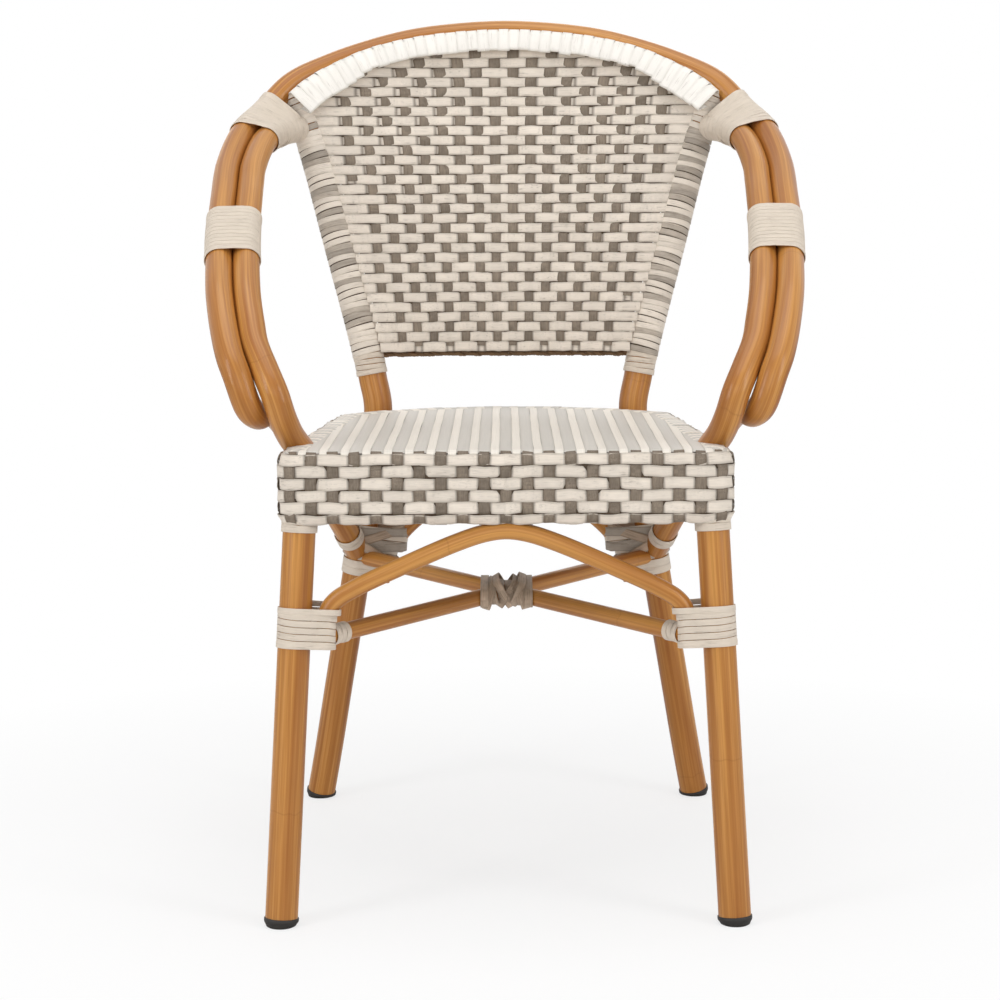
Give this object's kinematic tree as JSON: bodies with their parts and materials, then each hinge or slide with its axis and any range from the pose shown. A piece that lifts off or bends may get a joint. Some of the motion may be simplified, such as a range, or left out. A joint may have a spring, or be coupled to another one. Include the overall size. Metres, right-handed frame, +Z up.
{
  "type": "stackable cafe armchair",
  "caption": "Stackable outdoor cafe armchair with a wood-look tube frame, a plastic-strip woven seat and curved back, and strip bindings round the joints.",
  "frame": {"origin": "on the floor, at the middle of the chair's width and depth", "axes": "+Z up, -Y towards the front of the chair, +X to the right as seen from the front"},
  "size_m": [0.6048, 0.5763, 0.8749],
  "materials": {
    "tube_wood": "glossy coating printed with a honey-coloured bamboo grain",
    "strip_cream": "flat cream plastic strip, fine lengthwise ridges",
    "weave_cream": "cream plastic strand with fine lengthwise ridges",
    "weave_taupe": "taupe grey plastic strand with fine lengthwise ridges",
    "inner_metal": "bare drawn tube, hidden by the weave",
    "foot_black": "black moulded foot cap"
  },
  "bodies": {
    "root": {"front_leg_right": "tube_wood", "front_leg_left": "tube_wood", "rear_leg_right": "tube_wood", "rear_leg_left": "tube_wood", "outer_arm_right": "tube_wood", "outer_arm_left": "tube_wood", "inner_arm_right": "tube_wood", "inner_arm_left": "tube_wood", "back_arch": "tube_wood", "front_arch_brace": "tube_wood", "rear_arch_brace": "tube_wood", "cross_brace_long": "tube_wood", "cross_brace_half_front": "tube_wood", "cross_brace_half_rear": "tube_wood", "back_lower_rail": "tube_wood", "back_inner_hoop": "tube_wood", "seat_front_rail": "inner_metal", "seat_rear_rail": "inner_metal", "apron_front_rail": "inner_metal", "apron_rear_rail": "inner_metal", "seat_support_bar_1": "inner_metal", "seat_support_bar_2": "inner_metal", "seat_side_rail_right": "inner_metal", "seat_side_rail_left": "inner_metal", "apron_side_rail_right": "inner_metal", "apron_side_rail_left": "inner_metal", "arch_joint_sleeve_right": "inner_metal", "arch_joint_sleeve_left": "inner_metal", "seat_deck_weave": "weave_taupe", "seat_apron_weave": "weave_cream", "back_weave_panel": "weave_cream", "back_side_wrap_right": "weave_taupe", "back_side_wrap_left": "weave_taupe", "upper_arm_binding_right": "strip_cream", "upper_arm_binding_left": "strip_cream", "middle_arm_binding_right": "strip_cream", "middle_arm_binding_left": "strip_cream", "front_leg_binding_right": "strip_cream", "front_leg_binding_left": "strip_cream", "front_leg_top_cuff_right": "strip_cream", "front_leg_top_cuff_left": "strip_cream", "cross_brace_front_cuff_right": "strip_cream", "cross_brace_front_cuff_left": "strip_cream", "rear_leg_cuff_right": "strip_cream", "rear_leg_cuff_left": "strip_cream", "rear_leg_binding_right": "strip_cream", "rear_leg_binding_left": "strip_cream", "back_bottom_cuff_right": "strip_cream", "back_bottom_cuff_left": "strip_cream", "centre_knot_binding": "strip_cream", "front_foot_cap_right": "foot_black", "front_foot_cap_left": "foot_black", "rear_foot_cap_right": "foot_black", "rear_foot_cap_left": "foot_black"}
  },
  "joints": []
}
